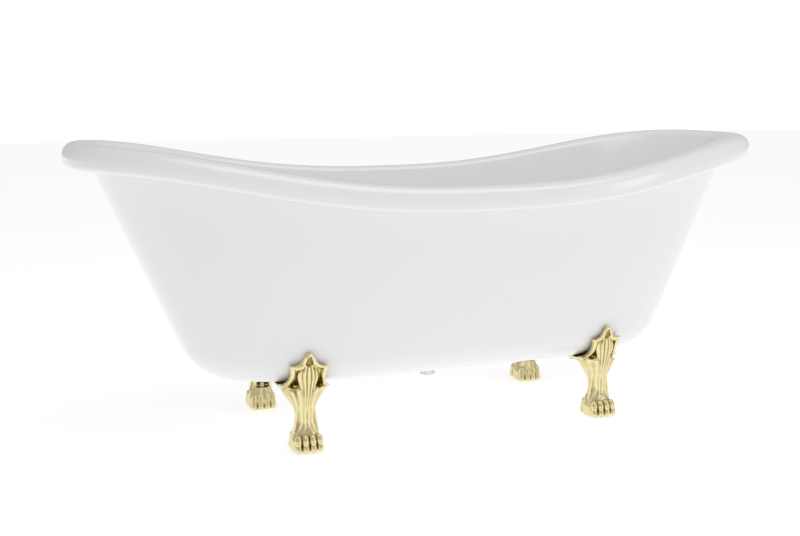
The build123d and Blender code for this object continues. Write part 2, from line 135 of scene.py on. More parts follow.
def geometry_tree(name, sizes):
    """A Geometry Nodes tree with a geometry input and named number inputs."""
    tree = bpy.data.node_groups.new(name, "GeometryNodeTree")
    tree.interface.new_socket("Geometry", in_out="INPUT", socket_type="NodeSocketGeometry")
    for size in sizes:
        tree.interface.new_socket(size, in_out="INPUT", socket_type="NodeSocketFloat")
    tree.interface.new_socket("Material", in_out="INPUT", socket_type="NodeSocketMaterial")
    tree.interface.new_socket("Geometry", in_out="OUTPUT", socket_type="NodeSocketGeometry")
    start = tree.nodes.new("NodeGroupInput")
    end = tree.nodes.new("NodeGroupOutput")
    return tree, start, end


def finish_tree(tree, start, end, geometry):
    """Every tree ends the same way: real geometry, then its material."""
    realize = tree.nodes.new("GeometryNodeRealizeInstances")
    paint = tree.nodes.new("GeometryNodeSetMaterial")
    tree.links.new(geometry, realize.inputs["Geometry"])
    tree.links.new(realize.outputs["Geometry"], paint.inputs["Geometry"])
    tree.links.new(start.outputs["Material"], paint.inputs["Material"])
    tree.links.new(paint.outputs["Geometry"], end.inputs["Geometry"])


def run_tree(name, mesh, tree, values):
    """Evaluate a tree on a mesh and keep the result as a plain mesh object."""
    source = bpy.data.objects.new(name + "_source", mesh)
    bpy.context.scene.collection.objects.link(source)
    modifier = source.modifiers.new("build", "NODES")
    modifier.node_group = tree
    for item in tree.interface.items_tree:
        if item.in_out == "INPUT" and item.name in values:
            modifier[item.identifier] = values[item.name]
    depsgraph = bpy.context.evaluated_depsgraph_get()
    result = bpy.data.meshes.new_from_object(source.evaluated_get(depsgraph))
    source.modifiers.remove(modifier)
    bpy.data.objects.remove(source)
    piece = bpy.data.objects.new(name, result)
    bpy.context.scene.collection.objects.link(piece)
    result.name = name
    print(name, len(result.polygons), "faces")
    return piece


# %% [markdown]
# Finishes come next, because the trees set their material. Effects that several finishes share
# are node groups: a soft mottling that breaks up gloss, a fine grain, and a blend of two tones by
# a mask. They are built once, and each finish places them with its own numbers.


# %% Shared shader groups
def shader_group(name, inputs, outputs):
    group = bpy.data.node_groups.new(name, "ShaderNodeTree")
    for label, kind, value in inputs:
        socket = group.interface.new_socket(label, in_out="INPUT", socket_type=kind)
        socket.default_value = value
    for label, kind in outputs:
        group.interface.new_socket(label, in_out="OUTPUT", socket_type=kind)
    return group, group.nodes.new("NodeGroupInput"), group.nodes.new("NodeGroupOutput")


def add(tree, kind, **settings):
    """A node with its properties set; inputs are given by name with a leading i_."""
    node = tree.nodes.new(kind)
    for key, value in settings.items():
        if key.startswith("i_"):
            node.inputs[key[2:].replace("_", " ")].default_value = value
        else:
            setattr(node, key, value)
    return node


def make_mottle():
    """Cloudy variation between two values, from noise in object space."""
    group, start, end = shader_group(
        "mottle",
        [("Scale", "NodeSocketFloat", 8.0), ("Low", "NodeSocketFloat", 0.1),
         ("High", "NodeSocketFloat", 0.2)],
        [("Value", "NodeSocketFloat")],
    )
    place = add(group, "ShaderNodeTexCoord")
    noise = add(group, "ShaderNodeTexNoise", i_Detail=4.0, i_Roughness=0.55)
    spread = add(group, "ShaderNodeMapRange")
    spread.inputs["From Min"].default_value = 0.3
    spread.inputs["From Max"].default_value = 0.7
    group.links.new(place.outputs["Object"], noise.inputs["Vector"])
    group.links.new(start.outputs["Scale"], noise.inputs["Scale"])
    group.links.new(noise.outputs["Fac"], spread.inputs["Value"])
    group.links.new(start.outputs["Low"], spread.inputs["To Min"])
    group.links.new(start.outputs["High"], spread.inputs["To Max"])
    group.links.new(spread.outputs["Result"], end.inputs["Value"])
    return group


def make_grain():
    """Bumpy normal from fine noise, for cast, moulded and plated skins."""
    group, start, end = shader_group(
        "grain",
        [("Scale", "NodeSocketFloat", 900.0), ("Strength", "NodeSocketFloat", 0.1),
         ("Depth", "NodeSocketFloat", 0.0002)],
        [("Normal", "NodeSocketVector")],
    )
    place = add(group, "ShaderNodeTexCoord")
    noise = add(group, "ShaderNodeTexNoise", i_Detail=3.0, i_Roughness=0.6)
    bump = add(group, "ShaderNodeBump")
    group.links.new(place.outputs["Object"], noise.inputs["Vector"])
    group.links.new(start.outputs["Scale"], noise.inputs["Scale"])
    group.links.new(noise.outputs["Fac"], bump.inputs["Height"])
    group.links.new(start.outputs["Strength"], bump.inputs["Strength"])
    group.links.new(start.outputs["Depth"], bump.inputs["Distance"])
    group.links.new(bump.outputs["Normal"], end.inputs["Normal"])
    return group


def make_blend_colours():
    """Two colours mixed by a mask, with mottling at the border."""
    group, start, end = shader_group(
        "two_tone",
        [("Light", "NodeSocketColor", (1, 1, 1, 1)), ("Dark", "NodeSocketColor", (0, 0, 0, 1)),
         ("Mask", "NodeSocketFloat", 0.0), ("Scale", "NodeSocketFloat", 60.0),
         ("Break Up", "NodeSocketFloat", 0.2)],
        [("Color", "NodeSocketColor"), ("Mask", "NodeSocketFloat")],
    )
    place = add(group, "ShaderNodeTexCoord")
    noise = add(group, "ShaderNodeTexNoise", i_Detail=5.0, i_Roughness=0.6)
    group.links.new(place.outputs["Object"], noise.inputs["Vector"])
    group.links.new(start.outputs["Scale"], noise.inputs["Scale"])
    centred = Rule(group, noise.outputs["Fac"]) - 0.5
    broken = Rule(group, start.outputs["Mask"]) + centred * Rule(group, start.outputs["Break Up"])
    clamp = add(group, "ShaderNodeClamp")
    group.links.new(broken.socket, clamp.inputs["Value"])
    mix = add(group, "ShaderNodeMix", data_type="RGBA")
    group.links.new(clamp.outputs["Result"], mix.inputs["Factor"])
    group.links.new(start.outputs["Light"], mix.inputs[6])
    group.links.new(start.outputs["Dark"], mix.inputs[7])
    group.links.new(mix.outputs[2], end.inputs["Color"])
    group.links.new(clamp.outputs["Result"], end.inputs["Mask"])
    return group


MOTTLE, GRAIN, TWO_TONE = make_mottle(), make_grain(), make_blend_colours()
print("shared groups", MOTTLE.name, GRAIN.name, TWO_TONE.name)


# %% Helpers that put a finish together
def new_finish(name, **shader_values):
    """A material with one Principled shader whose constant values are set on its sockets."""
    finish = bpy.data.materials.new(name)
    finish.use_nodes = True
    shader = finish.node_tree.nodes["Principled BSDF"]
    for label, value in shader_values.items():
        shader.inputs[label.replace("_", " ")].default_value = value
    return finish, finish.node_tree, shader


def place_group(tree, group, **values):
    node = tree.nodes.new("ShaderNodeGroup")
    node.node_tree = group
    for label, value in values.items():
        node.inputs[label.replace("_", " ")].default_value = value
    return node


def give_gloss(tree, shader, low, high, scale):
    node = place_group(tree, MOTTLE, Scale=scale, Low=low, High=high)
    tree.links.new(node.outputs["Value"], shader.inputs["Roughness"])


def give_grain(tree, shader, scale, strength, depth):
    node = place_group(tree, GRAIN, Scale=scale, Strength=strength, Depth=depth)
    tree.links.new(node.outputs["Normal"], shader.inputs["Normal"])


def give_colours(tree, shader, light, dark, scale, break_up, attribute=None):
    """Base colour from two tones, masked by noise alone or by a stored attribute."""
    node = place_group(tree, TWO_TONE, Light=(*light, 1), Dark=(*dark, 1), Scale=scale)
    node.inputs["Break Up"].default_value = break_up
    if attribute:
        stored = add(tree, "ShaderNodeAttribute", attribute_name=attribute)
        tree.links.new(stored.outputs["Fac"], node.inputs["Mask"])
    else:
        node.inputs["Mask"].default_value = 0.5
    tree.links.new(node.outputs["Color"], shader.inputs["Base Color"])
    return node


# %% [markdown]
# The tub is gloss white acrylic. Vacuum-formed acrylic isn't a perfect mirror: it has a very
# slow waviness and a faint orange peel, and its gloss changes a little from place to place. A
# clear coat on a light base gives the deep, soft gloss, and the bump stays under a tenth of a
# millimetre.


# %% White acrylic
def make_acrylic():
    finish, tree, shader = new_finish(
        "white_acrylic", IOR=1.49, Coat_Weight=0.35, Coat_Roughness=0.06,
        Subsurface_Weight=0.0,
    )
    give_colours(tree, shader, (0.87, 0.87, 0.875), (0.85, 0.849, 0.857), 3.0, 0.6)
    give_gloss(tree, shader, 0.14, 0.22, 5.0)
    give_grain(tree, shader, 26.0, 0.12, 0.0004)
    return finish


WHITE_ACRYLIC = make_acrylic()

# %% [markdown]
# The feet are cast metal with a satin pale gold finish. The high parts are lighter and smoother, and
# the
# hollows are olive brown: partly the casting's own darker finish where polishing doesn't reach, and
# partly painted shade in the hollows and next to the tub. The mask for both is a number stored at
# every point of the sculpted mesh.


# %% Pale gold
def make_gold():
    finish, tree, shader = new_finish("pale_gold", Metallic=1.0)
    # Dark tone by the stored mask: partly the casting's darker hollows, partly painted shade in the
    # hollows and next to the tub.
    tone = give_colours(
        tree, shader, (0.83, 0.735, 0.42), (0.37, 0.285, 0.09), 90.0, 0.14, attribute="patina_and_shade",
    )
    rough = add(tree, "ShaderNodeMapRange")
    rough.inputs["To Min"].default_value = 0.20
    rough.inputs["To Max"].default_value = 0.50
    tree.links.new(tone.outputs["Mask"], rough.inputs["Value"])
    tree.links.new(rough.outputs["Result"], shader.inputs["Roughness"])
    give_grain(tree, shader, 420.0, 0.16, 0.0002)
    return finish


PALE_GOLD = make_gold()


# %% [markdown]
# The fittings have plainer finishes: polished plate on the waste and overflow, zinc on screws,
# black rubber seals, white moulded plastic, and timber inside the tub. Each still gets its own
# colour variation, gloss and grain. Wood takes stretched noise, so that its figure runs along
# the board.


# %% Metal, rubber and plastic
def make_simple(name, light, dark, gloss, grain, scale=40.0, **values):
    finish, tree, shader = new_finish(name, **values)
    give_colours(tree, shader, light, dark, scale, 0.8)
    give_gloss(tree, shader, gloss[0], gloss[1], scale)
    give_grain(tree, shader, *grain)
    return finish


POLISHED = make_simple(
    "brass_plate", (0.72, 0.72, 0.74), (0.62, 0.62, 0.65), (0.06, 0.14), (300, 0.04, 0.0001),
    Metallic=1.0,
)
ZINC = make_simple(
    "zinc_steel", (0.62, 0.62, 0.60), (0.46, 0.47, 0.47), (0.28, 0.45), (700, 0.2, 0.0001),
    Metallic=1.0,
)
RUBBER = make_simple(
    "black_rubber", (0.035, 0.035, 0.036), (0.02, 0.02, 0.02), (0.6, 0.8), (1200, 0.3, 0.0001),
)
PLASTIC = make_simple(
    "white_plastic", (0.78, 0.78, 0.76), (0.70, 0.70, 0.68), (0.35, 0.5), (1500, 0.15, 0.0001),
)
PAD_NYLON = make_simple(
    "grey_pad", (0.13, 0.13, 0.135), (0.08, 0.08, 0.085), (0.45, 0.6), (1500, 0.3, 0.0001),
)
ADHESIVE = make_simple(
    "adhesive", (0.72, 0.70, 0.62), (0.60, 0.58, 0.50), (0.5, 0.7), (250, 0.6, 0.0008),
)


# %% Wood
def make_wood(name, light, dark, rings):
    finish, tree, shader = new_finish(name, Specular_IOR_Level=0.3)
    place = add(tree, "ShaderNodeTexCoord")
    stretch = add(tree, "ShaderNodeMapping")
    stretch.inputs["Scale"].default_value = rings
    wave = add(tree, "ShaderNodeTexWave", i_Scale=1.0, i_Distortion=6.0, i_Detail=3.0)
    tone = place_group(tree, TWO_TONE, Light=(*light, 1), Dark=(*dark, 1), Scale=30.0)
    tree.links.new(place.outputs["Object"], stretch.inputs["Vector"])
    tree.links.new(stretch.outputs["Vector"], wave.inputs["Vector"])
    tree.links.new(wave.outputs["Fac"], tone.inputs["Mask"])
    tree.links.new(tone.outputs["Color"], shader.inputs["Base Color"])
    give_gloss(tree, shader, 0.55, 0.75, 20.0)
    give_grain(tree, shader, 500.0, 0.3, 0.0003)
    return finish


PLYWOOD = make_wood("plywood", (0.58, 0.42, 0.25), (0.42, 0.28, 0.15), (2.0, 30.0, 260.0))
TIMBER = make_wood("timber", (0.62, 0.45, 0.26), (0.46, 0.30, 0.15), (60.0, 4.0, 60.0))
FINISHES = {
    "white_acrylic": WHITE_ACRYLIC, "pale_gold": PALE_GOLD, "brass_plate": POLISHED,
    "zinc_steel": ZINC, "black_rubber": RUBBER, "white_plastic": PLASTIC, "grey_pad": PAD_NYLON,
    "adhesive": ADHESIVE, "plywood": PLYWOOD, "timber": TIMBER,
}

# %% Every carried-over node takes its finish
SLOT_OF = {s["node"]: s["material_slot"] for s in frame["record"]["subparts"]}
for node, obj in NODES.items():
    obj.data.materials.clear()
    obj.data.materials.append(FINISHES[SLOT_OF[node]])
print("finishes given to", len(NODES), "nodes")

# %% [markdown]
# The two acrylic skins are the main pieces, and their shape follows a rule: a stack of rings.
# Each ring lies on one of the walls, is moved out by some amount, and is either level or stays
# a fixed drop below the rim's crest line, which rises towards both ends. A Geometry Nodes tree
# fits this well. Every vertex carries only its angle around the tub and its ring's recipe, and
# the tree places it. Changing one named input reshapes the whole skin.

# %% The tree that places every ring
WALL_NUMBERS = ("Height", "Half Length", "Half Width", "Power")
BATH, SHELL, RIM, WASTE = 0.0, 1.0, 2.0, 3.0
SKIN_INPUTS = [
    f"{wall} {end} {number}" for wall in ("Bath", "Shell") for end in ("Low", "High")
    for number in WALL_NUMBERS
] + ["Rim Half Length", "Rim Half Width", "Rim Power", "Rim Mid", "Rim End", "Rim Sweep"]
CREST_PASSES = 5


def stored(tree, name):
    node = add(tree, "GeometryNodeInputNamedAttribute", data_type="FLOAT", i_Name=name)
    return Rule(tree, node.outputs["Attribute"])


def make_skin_tree():
    tree, start, end = geometry_tree("tub_skin", SKIN_INPUTS)
    given = {name: Rule(tree, start.outputs[name]) for name in SKIN_INPUTS}
    turn, kind, grow = stored(tree, "turn"), stored(tree, "kind"), stored(tree, "grow")
    level, drop, follow = stored(tree, "level"), stored(tree, "drop"), stored(tree, "follow")
    waste = stored(tree, "hole")
    on = {value: kind.equals(value) for value in (BATH, SHELL, RIM, WASTE)}
    cosine, sine = turn.math("COSINE"), turn.math("SINE")

    def wall_number(z, number, rim, hole):
        total = on[RIM] * rim + on[WASTE] * hole
        for value, wall in ((BATH, "Bath"), (SHELL, "Shell")):
            low_z, high_z = given[wall + " Low Height"], given[wall + " High Height"]
            low, high = given[f"{wall} Low {number}"], given[f"{wall} High {number}"]
            climb = (z - low_z) / (high_z - low_z)
            total = total + on[value] * (low + (high - low) * climb)
        return total

    def oval(z):
        power = wall_number(z, "Power", given["Rim Power"], 2.0)
        half_x = wall_number(z, "Half Length", given["Rim Half Length"], waste) + grow
        half_y = wall_number(z, "Half Width", given["Rim Half Width"], waste) + grow
        squash = power.math("POWER", -1.0) * 2.0
        x = half_x * cosine.sign() * cosine.size() ** squash
        y = half_y * sine.sign() * sine.size() ** squash
        return x, y

    def crest(x):
        along = (x.size() / given["Rim Half Length"]).math("MINIMUM", 1.0)
        swing = (along ** given["Rim Sweep"] * pi).math("COSINE")
        rise = (swing * -1.0 + 1.0) * 0.5
        return given["Rim Mid"] + (given["Rim End"] - given["Rim Mid"]) * rise

    z = level + (given["Rim Mid"] - level) * follow
    for _ in range(CREST_PASSES):
        x, y = oval(z)
        z = level + (crest(x) - drop - level) * follow
    x, y = oval(z)
    point = add(tree, "ShaderNodeCombineXYZ")
    for socket, value in zip(point.inputs, (x, y, z)):
        tree.links.new(value.socket, socket)
    move = add(tree, "GeometryNodeSetPosition")
    tree.links.new(start.outputs["Geometry"], move.inputs["Geometry"])
    tree.links.new(point.outputs["Vector"], move.inputs["Position"])
    finish_tree(tree, start, end, move.outputs["Geometry"])
    return tree


SKIN_TREE = make_skin_tree()
print("tub_skin tree has", len(SKIN_TREE.nodes), "nodes")

# %% [markdown]
# A skin's source mesh is a closed tube of quads, one loop for each ring: it starts at the waste
# hole, runs out along the floor, up the wall, over the rim, back down the hidden side, and
# returns to the hole. So the shell is watertight with no caps or poles.


# %% Ring recipes
def ring(kind, grow, level=0.0, drop=0.0, follow=0.0, hole=0.0):
    return {
        "kind": kind, "grow": grow, "level": level, "drop": drop, "follow": follow, "hole": hole,
    }


def quarter(steps):
    return [pi / 2 * i / steps for i in range(steps + 1)]


def floor_rings(kind, wall, bottom, grow, radius, hole):
    """From the waste hole out over the floor and round its corner."""
    half_y = wall[0][2] + grow - radius
    rings = [ring(WASTE, 0.0, bottom, hole=hole), ring(WASTE, 0.0, bottom, hole=hole * 1.4)]
    for shrink in (0.72, 0.45, 0.2):
        rings.append(ring(kind, grow - radius - shrink * half_y, bottom))
    for angle in quarter(10):
        lift = radius * (1 - cos(angle))
        rings.append(ring(kind, grow - radius * (1 - sin(angle)), bottom + lift))
    return rings


def wall_rings(kind, grow, level, drop, steps):
    """Evenly spaced rings from a level ring up to the crest line, both left out."""
    return [ring(kind, grow, level, drop, (i + 1) / (steps + 1)) for i in range(steps)]


def crest_ring(kind, grow, drop):
    return ring(kind, grow, 0.0, drop, 1.0)


# %% The basin with its rolled rim
WALL_STEPS = 9
AROUND = 224


def basin_rings():
    rings = floor_rings(BATH, BATH_WALL, BATH_WALL[0][0], 0.0, BATH_CORNER, WASTE_HOLE)
    rings += wall_rings(BATH, 0.0, BATH_WALL[0][0] + BATH_CORNER, RIM_CREST_IN, WALL_STEPS)
    for a in quarter(6):
        rings.append(crest_ring(BATH, RIM_CREST_IN * (1 - cos(a)), RIM_CREST_IN * (1 - sin(a))))
    rings.append(crest_ring(RIM, -(RIM_ROUND + 0.009), -0.0006))
    for a in quarter(10):
        rings.append(crest_ring(RIM, -RIM_ROUND * (1 - sin(a)), RIM_ROUND * (1 - cos(a))))
    for a in quarter(6):
        inset, drop = RIM_CURL * (1 - cos(a)), RIM_BAND - RIM_CURL * (1 - sin(a))
        rings.append(crest_ring(RIM, -inset, drop))
    rings.append(crest_ring(SHELL, BOND_GAP + 0.001, RIM_BAND))
    rings.append(crest_ring(SHELL, BOND_GAP, RIM_BAND - 0.001))
    rings.append(crest_ring(SHELL, BOND_GAP, RIM_BAND - SKIN))
    rings.append(crest_ring(RIM, -SKIN, RIM_BAND - SKIN))
    inner = RIM_ROUND - SKIN
    for a in reversed(quarter(5)):
        rings.append(crest_ring(RIM, -SKIN - inner * (1 - sin(a)), SKIN + inner * (1 - cos(a))))
    inner = RIM_CREST_IN - SKIN
    for a in reversed(quarter(3)):
        grow, drop = RIM_CREST_IN - inner * cos(a), RIM_CREST_IN - inner * sin(a)
        rings.append(crest_ring(BATH, grow, drop))
    level = BATH_WALL[0][0] + BATH_CORNER
    rings += reversed(wall_rings(BATH, SKIN, level, RIM_CREST_IN, 4))
    back = floor_rings(
        BATH, BATH_WALL, BATH_WALL[0][0] - SKIN, SKIN, BATH_CORNER + SKIN, WASTE_HOLE,
    )
    return rings + back[::-1]


def shell_rings():
    drop = RIM_BAND - SKIN - 0.0002 - FLANGE
    wall, low = SHELL_WALL, SHELL_WALL[0][0]
    rings = floor_rings(SHELL, wall, low, 0.0, SHELL_CORNER, WASTE_CLEAR)
    rings += wall_rings(SHELL, 0.0, low + SHELL_CORNER, RIM_BAND, WALL_STEPS)
    rings.append(crest_ring(SHELL, 0.0, drop + FLANGE))
    rings.append(crest_ring(RIM, -SKIN - BOND_GAP, drop + FLANGE))
    rings.append(crest_ring(RIM, -SKIN - BOND_GAP, drop))
    rings.append(crest_ring(SHELL, -SKIN, drop))
    rings += reversed(wall_rings(SHELL, -SKIN, low + SHELL_CORNER, RIM_BAND, 4))
    back = floor_rings(SHELL, wall, low + SKIN, -SKIN, SHELL_CORNER - SKIN, WASTE_CLEAR)
    return rings + back[::-1]


def ring_mesh(name, rings):
    """Closed tube of quads; every vertex carries its turn and its ring's recipe."""
    count = len(rings)
    mesh = bpy.data.meshes.new(name)
    faces = []
    for r in range(count):
        s = (r + 1) % count
        for i in range(AROUND):
            j = (i + 1) % AROUND
            faces.append((r * AROUND + i, r * AROUND + j, s * AROUND + j, s * AROUND + i))
    mesh.from_pydata([(0, 0, 0)] * (count * AROUND), [], faces)
    turns = np.tile(np.arange(AROUND) * 2 * pi / AROUND, count)
    mesh.attributes.new("turn", "FLOAT", "POINT").data.foreach_set("value", turns)
    for key in rings[0]:
        values = np.repeat([r[key] for r in rings], AROUND)
        mesh.attributes.new(key, "FLOAT", "POINT").data.foreach_set("value", values)
    return mesh


def skin_values():
    values = {
        "Rim Half Length": LENGTH / 2, "Rim Half Width": WIDTH / 2, "Rim Power": RIM_OVAL,
        "Rim Mid": RIM_MID, "Rim End": RIM_END, "Rim Sweep": RIM_SWEEP,
        "Material": WHITE_ACRYLIC,
    }
    for wall, sizes in (("Bath", BATH_WALL), ("Shell", SHELL_WALL)):
        for end, numbers in zip(("Low", "High"), sizes):
            for label, number in zip(WALL_NUMBERS, numbers):
                values[f"{wall} {end} {label}"] = number
    return values


def tidy_mesh(piece, smooth=True, sharp=radians(40)):
    """Merge doubles, point faces outwards and shade smooth except at sharp edges."""
    mesh = piece.data
    work = bmesh.new()
    work.from_mesh(mesh)
    bmesh.ops.remove_doubles(work, verts=work.verts, dist=1e-6)
    bmesh.ops.recalc_face_normals(work, faces=work.faces)
    for edge in work.edges:
        if edge.is_manifold and edge.calc_face_angle(0.0) > sharp:
            edge.smooth = False
    for face in work.faces:
        face.smooth = smooth
    work.to_mesh(mesh)
    work.free()
    for name in ("turn", "kind", "grow", "level", "drop", "follow", "hole"):
        if name in mesh.attributes:
            mesh.attributes.remove(mesh.attributes[name])
    return piece


def make_skin(name, rings, node):
    piece = run_tree(name, ring_mesh(name, rings), SKIN_TREE, skin_values())
    tidy_mesh(piece)
    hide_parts(node)
    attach(piece, "tub")
    return piece


basin_skin = make_skin("basin_skin", basin_rings(), "basin")
make_skin("outer_shell_skin", shell_rings(), "outer_shell")
print("basin box", [round(v, 4) for v in basin_skin.dimensions])

# %% [markdown]
# The feet are the ornament of this tub: a cast lion paw, a narrow ankle, and a three-pointed
# leaf that lies against the tub. Such a form is hard to build from faces by hand. Here it is
# modelled as a distance field instead: on a fine grid, every point knows how far it is inside
# or outside the metal, so lobes can be blended, grooves carved and the back hollowed out with
# simple arithmetic. The field is then meshed. Lengths in this part are millimetres: v runs
# across the foot, u runs out from the tub's centre plane, and z is up.

# %% The grid and the basic solids
VOXEL = 1.2
foot_low, foot_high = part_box("foot_front_right")
FOOT_X = (foot_low.x + foot_high.x) / 2
LEVELER_U = -sum(c.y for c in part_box("leveling_stud_front_right")) / 2 / MM
grid_low = np.array([-60.0, 92.0, -3.0])
grid_high = np.array([60.0, 234.0, 236.0])
axes = [np.arange(a, b, VOXEL, dtype=np.float32) for a, b in zip(grid_low, grid_high)]
V = axes[0][:, None, None]
U = axes[1][None, :, None]
Z = axes[2][None, None, :]
print("foot centre", round(FOOT_X, 4), "grid", [len(a) for a in axes])


def curve(keys, z=Z):
    """Smooth value along z through (z, value) keys."""
    heights, values = [np.array(c, float) for c in zip(*keys)]
    fine = np.linspace(heights[0], heights[-1], 240)
    raw = np.interp(fine, heights, values)
    kernel = np.hanning(15) / np.hanning(15).sum()
    soft = np.convolve(np.pad(raw, 7, mode="edge"), kernel, mode="valid")
    return np.interp(z, fine, soft).astype(np.float32)


def soft_min(a, b, k):
    """Union of two fields, blended over k millimetres."""
    h = np.clip(0.5 + 0.5 * (b - a) / k, 0, 1)
    return b + (a - b) * h - k * h * (1 - h)


def soft_max(a, b, k):
    return -soft_min(-a, -b, k)


def egg(centre, radii):
    """Distance to an ellipsoid, close enough near its surface."""
    q = [(p - c) / r for p, c, r in zip((V, U, Z), centre, radii)]
    length = np.sqrt(q[0] ** 2 + q[1] ** 2 + q[2] ** 2)
    slope = np.sqrt(sum((qi / r) ** 2 for qi, r in zip(q, radii)))
    return length * (length - 1) / np.maximum(slope, 1e-4)


def rod(start, end, radius_start, radius_end):
    """Distance to a round bar that tapers between two points."""
    start, end = np.array(start, np.float32), np.array(end, np.float32)
    along = end - start
    d = [V - start[0], U - start[1], Z - start[2]]
    f = np.clip(sum(di * a for di, a in zip(d, along)) / float(along @ along), 0, 1)
    gap = np.sqrt(sum((di - f * a) ** 2 for di, a in zip(d, along)))
    return gap - (radius_start + (radius_end - radius_start) * f)


def slab(centre, half, edge):
    """Distance to a box with rounded edges."""
    q = [np.abs(p - c) - (h - edge) for p, c, h in zip((V, U, Z), centre, half)]
    outside = np.sqrt(sum(np.maximum(qi, 0) ** 2 for qi in q))
    return outside + np.minimum(np.maximum(np.maximum(q[0], q[1]), q[2]), 0) - edge


def bump(x, centre, width):
    """Smooth hill of height 1."""
    return np.exp(-(((x - centre) / width) ** 2))


# %% The tub's corner that each foot must follow
def shell_half_width(x, z):
    low, high = SHELL_WALL
    f = (z - low[0]) / (high[0] - low[0])
    a, b, n = [p + (q - p) * f for p, q in zip(low[1:], high[1:])]
    return b * (1 - (x / a) ** n) ** (1 / n)


def tub_corner():
    """Distance out from the tub's rounded lower edge; negative is inside the tub."""
    corner_z = SHELL_WALL[0][0] + SHELL_CORNER
    low_u = shell_half_width(FOOT_X, corner_z) / MM
    high_u = shell_half_width(FOOT_X, 0.30) / MM
    step = 0.02
    fall = shell_half_width(FOOT_X - step, corner_z) - shell_half_width(FOOT_X + step, corner_z)
    turned_u = U + V * (fall / (2 * step))
    slope = (high_u - low_u) / (300.0 - corner_z / MM)
    radius = SHELL_CORNER / MM
    centre_u, centre_z = low_u - radius, corner_z / MM
    wall = (turned_u - low_u - slope * (Z - centre_z)) / np.sqrt(1 + slope**2)
    bottom = SHELL_WALL[0][0] / MM - Z
    bend = np.sqrt((turned_u - centre_u) ** 2 + (Z - centre_z) ** 2) - radius
    below = np.where(turned_u > centre_u, bend, bottom)
    return np.where(Z > centre_z, wall, below).astype(np.float32)


OFF_TUB = tub_corner()

# %% [markdown]
# First come the big forms: a column whose depth and width change with height makes the paw's
# body, the ankle and the knee. Two wings spread from the knee. The leaf above is a plate that
# stands off the tub, cut to a pointed outline, with a raised border round a sunken field.


# %% Leg, knee and wings
TURN = 0.187


def column(back, front, half, power, across=V, out=U):
    back, front, half = curve(back), curve(front), curve(half)
    middle, depth = (front + back) / 2, (front - back) / 2
    q = (np.abs(across / half) ** power + np.abs((out - middle) / depth) ** power) ** (1 / power)
    return (q - 1) * np.minimum(half, depth)


def leg():
    back = [(0, 158), (25, 156), (45, 160), (62, 164), (80, 163), (100, 157), (125, 143), (150, 140)]
    front = [(0, 212), (8, 215), (25, 213), (45, 206), (62, 201), (80, 200), (105, 202), (130, 206),
             (150, 207)]
    half = [(0, 31), (8, 34), (25, 34.2), (40, 30), (52, 25), (66, 21.6), (82, 21.2), (98, 22.5),
            (112, 26), (125, 29), (150, 30)]
    body = column(back, front, half, 2.6)
    return np.maximum(np.maximum(body, 1.2 - Z), Z - 152)


def knee():
    """Bowl-shaped wings that spread from the leg to both lower points of the leaf."""
    half = [(84, 17), (98, 25), (110, 33), (122, 41), (134, 47.5), (144, 51.5), (158, 52)]
    back = [(84, 166), (105, 148), (130, 136), (158, 130)]
    front = [(84, 194), (105, 200), (122, 206), (136, 211), (150, 213), (158, 213)]
    follow = curve([(90, 0.0), (120, 0.5), (145, 1.0), (158, 1.0)])
    wings = column(back, front, half, 1.8, out=U + V * TURN * follow)
    lip = 141 + 10 * (np.abs(V) / 50) ** 1.4
    bowl = soft_max(wings, Z - lip, 2.5)
    scoop = egg((0.0, 224.0, 158.0), (45.0, 22.0, 27.0))
    return soft_max(bowl, -scoop, 4.0)


# %% The leaf plate
LEAF_SIDE = [
    (24, 112), (36, 126), (45, 136), (52, 144), (54, 148.5), (46, 153), (41, 160), (38.5, 168),
    (38, 178), (39.5, 189), (42, 200), (31, 200), (21, 204), (14.5, 212), (10, 221), (4.5, 228.5),
]
FIELD_SIDE = [
    (14, 138), (26, 142), (34, 150), (36, 154), (33, 162), (31, 170), (30.5, 180), (31.5, 190),
    (33, 194.5), (24, 195.5), (17, 198), (12, 203),
]


def outline_distance(points):
    """Signed distance to a closed outline in the front view, negative inside."""
    flat_v, flat_z = np.meshgrid(axes[0], axes[2], indexing="ij")
    best = np.full(flat_v.shape, 1e9)
    inside = np.zeros(flat_v.shape, bool)
    for (ax, az), (bx, bz) in zip(points, points[1:] + points[:1]):
        ex, ez = bx - ax, bz - az
        f = np.clip(((flat_v - ax) * ex + (flat_z - az) * ez) / (ex * ex + ez * ez), 0, 1)
        best = np.minimum(best, np.hypot(flat_v - ax - f * ex, flat_z - az - f * ez))
        crosses = (az > flat_z) != (bz > flat_z)
        with np.errstate(divide="ignore", invalid="ignore"):
            reach = ax + (flat_z - az) * ex / ez
        inside ^= crosses & (flat_v < reach)
    return np.where(inside, -best, best).astype(np.float32)[:, None, :]


def both_sides(points):
    return outline_distance(points + [(-x, z) for x, z in reversed(points)])


def leaf():
    """Plate that hugs the tub: a thick border round two sunken fields."""
    edge, sunk = both_sides(LEAF_SIDE), both_sides(FIELD_SIDE)
    depth = np.clip(-sunk / 4.0, 0, 1)
    depth = depth * depth * (3 - 2 * depth)
    proud = 13.0 - 10.4 * depth
    plate = soft_max(OFF_TUB - proud, edge, 2.2)
    return np.maximum(plate, 0.9 - OFF_TUB)


# %% [markdown]
# The middle leaf stands in front of that plate. It swells into a belly, narrows down over the
# knee and runs out as flutes on the leg. Its veins are shallow waves that run along it and draw
# together as it narrows, and its tip curls over a small dark pocket.


# %% The middle leaf with its veins
BLADE_HALF = [
    (92, 10), (108, 13.0), (122, 14.0), (140, 16.0), (156, 20), (168, 23.5), (178, 24.5),
    (186, 23), (192, 19.5), (200, 16.5), (210, 15), (218, 12), (225, 8), (230, 3.5),
]
BLADE_FRONT = [
    (92, 201), (108, 206), (125, 212), (145, 217), (165, 222), (185, 223), (205, 223.5),
    (218, 225), (230, 226),
]


